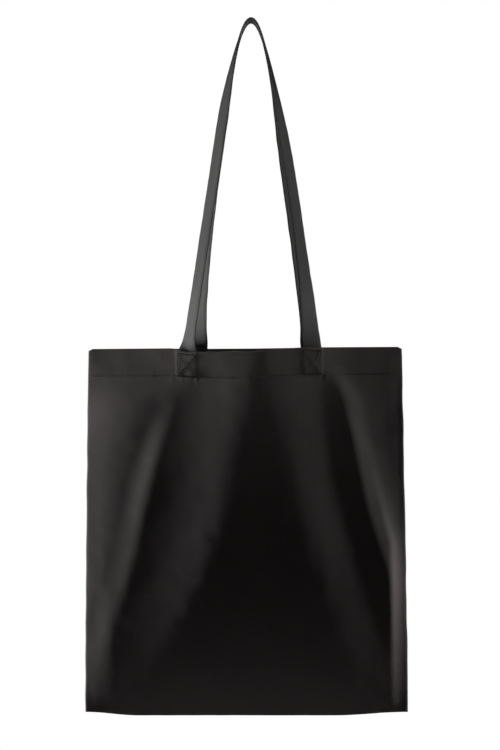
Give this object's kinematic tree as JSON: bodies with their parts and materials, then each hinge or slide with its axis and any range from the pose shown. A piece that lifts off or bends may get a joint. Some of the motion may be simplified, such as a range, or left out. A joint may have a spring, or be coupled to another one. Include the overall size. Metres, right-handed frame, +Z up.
{
  "type": "canvas tote bag",
  "caption": "Open-topped flat canvas tote with long twisted strap handles box-stitched inside a deep turned hem, hanging by both handles.",
  "frame": {"origin": "hanging point: where a peg or hook bears on the underside of both handles", "axes": "+Z up, +X to the right as seen from the front, the front panel faces -Y"},
  "size_m": [0.37, 0.0774, 0.8002],
  "materials": {
    "canvas": "black cotton canvas, fine weave, matt with a soft sheen",
    "strap": "black cotton canvas folded into a firm strap, matt with a soft sheen",
    "thread": "black sewing thread, slightly glossy",
    "overlock_thread": "black overlocking yarn, soft and matt"
  },
  "bodies": {
    "bag": {"front_panel": "canvas", "back_panel": "canvas", "front_hem_stitching": "thread", "back_hem_stitching": "thread", "left_side_seam": "overlock_thread", "right_side_seam": "overlock_thread", "bottom_seam": "overlock_thread", "front_handle_left_end": "strap", "front_handle_right_end": "strap", "back_handle_left_end": "strap", "back_handle_right_end": "strap", "front_left_box_stitch": "thread", "front_right_box_stitch": "thread", "back_left_box_stitch": "thread", "back_right_box_stitch": "thread"},
    "front_handle": {"front_handle": "strap", "front_handle_edge_stitch": "thread"},
    "back_handle": {"back_handle": "strap", "back_handle_edge_stitch": "thread"}
  },
  "joints": [
    {"name": "front_handle_swing", "type": "hinge", "parent": "bag", "child": "front_handle", "pos_m": [0, -0.0311, -0.378], "axis": [1, 0, 0], "range_deg": [0, 160]},
    {"name": "back_handle_swing", "type": "hinge", "parent": "bag", "child": "back_handle", "pos_m": [0, 0.0311, -0.378], "axis": [-1, 0, 0], "range_deg": [0, 160]}
  ]
}
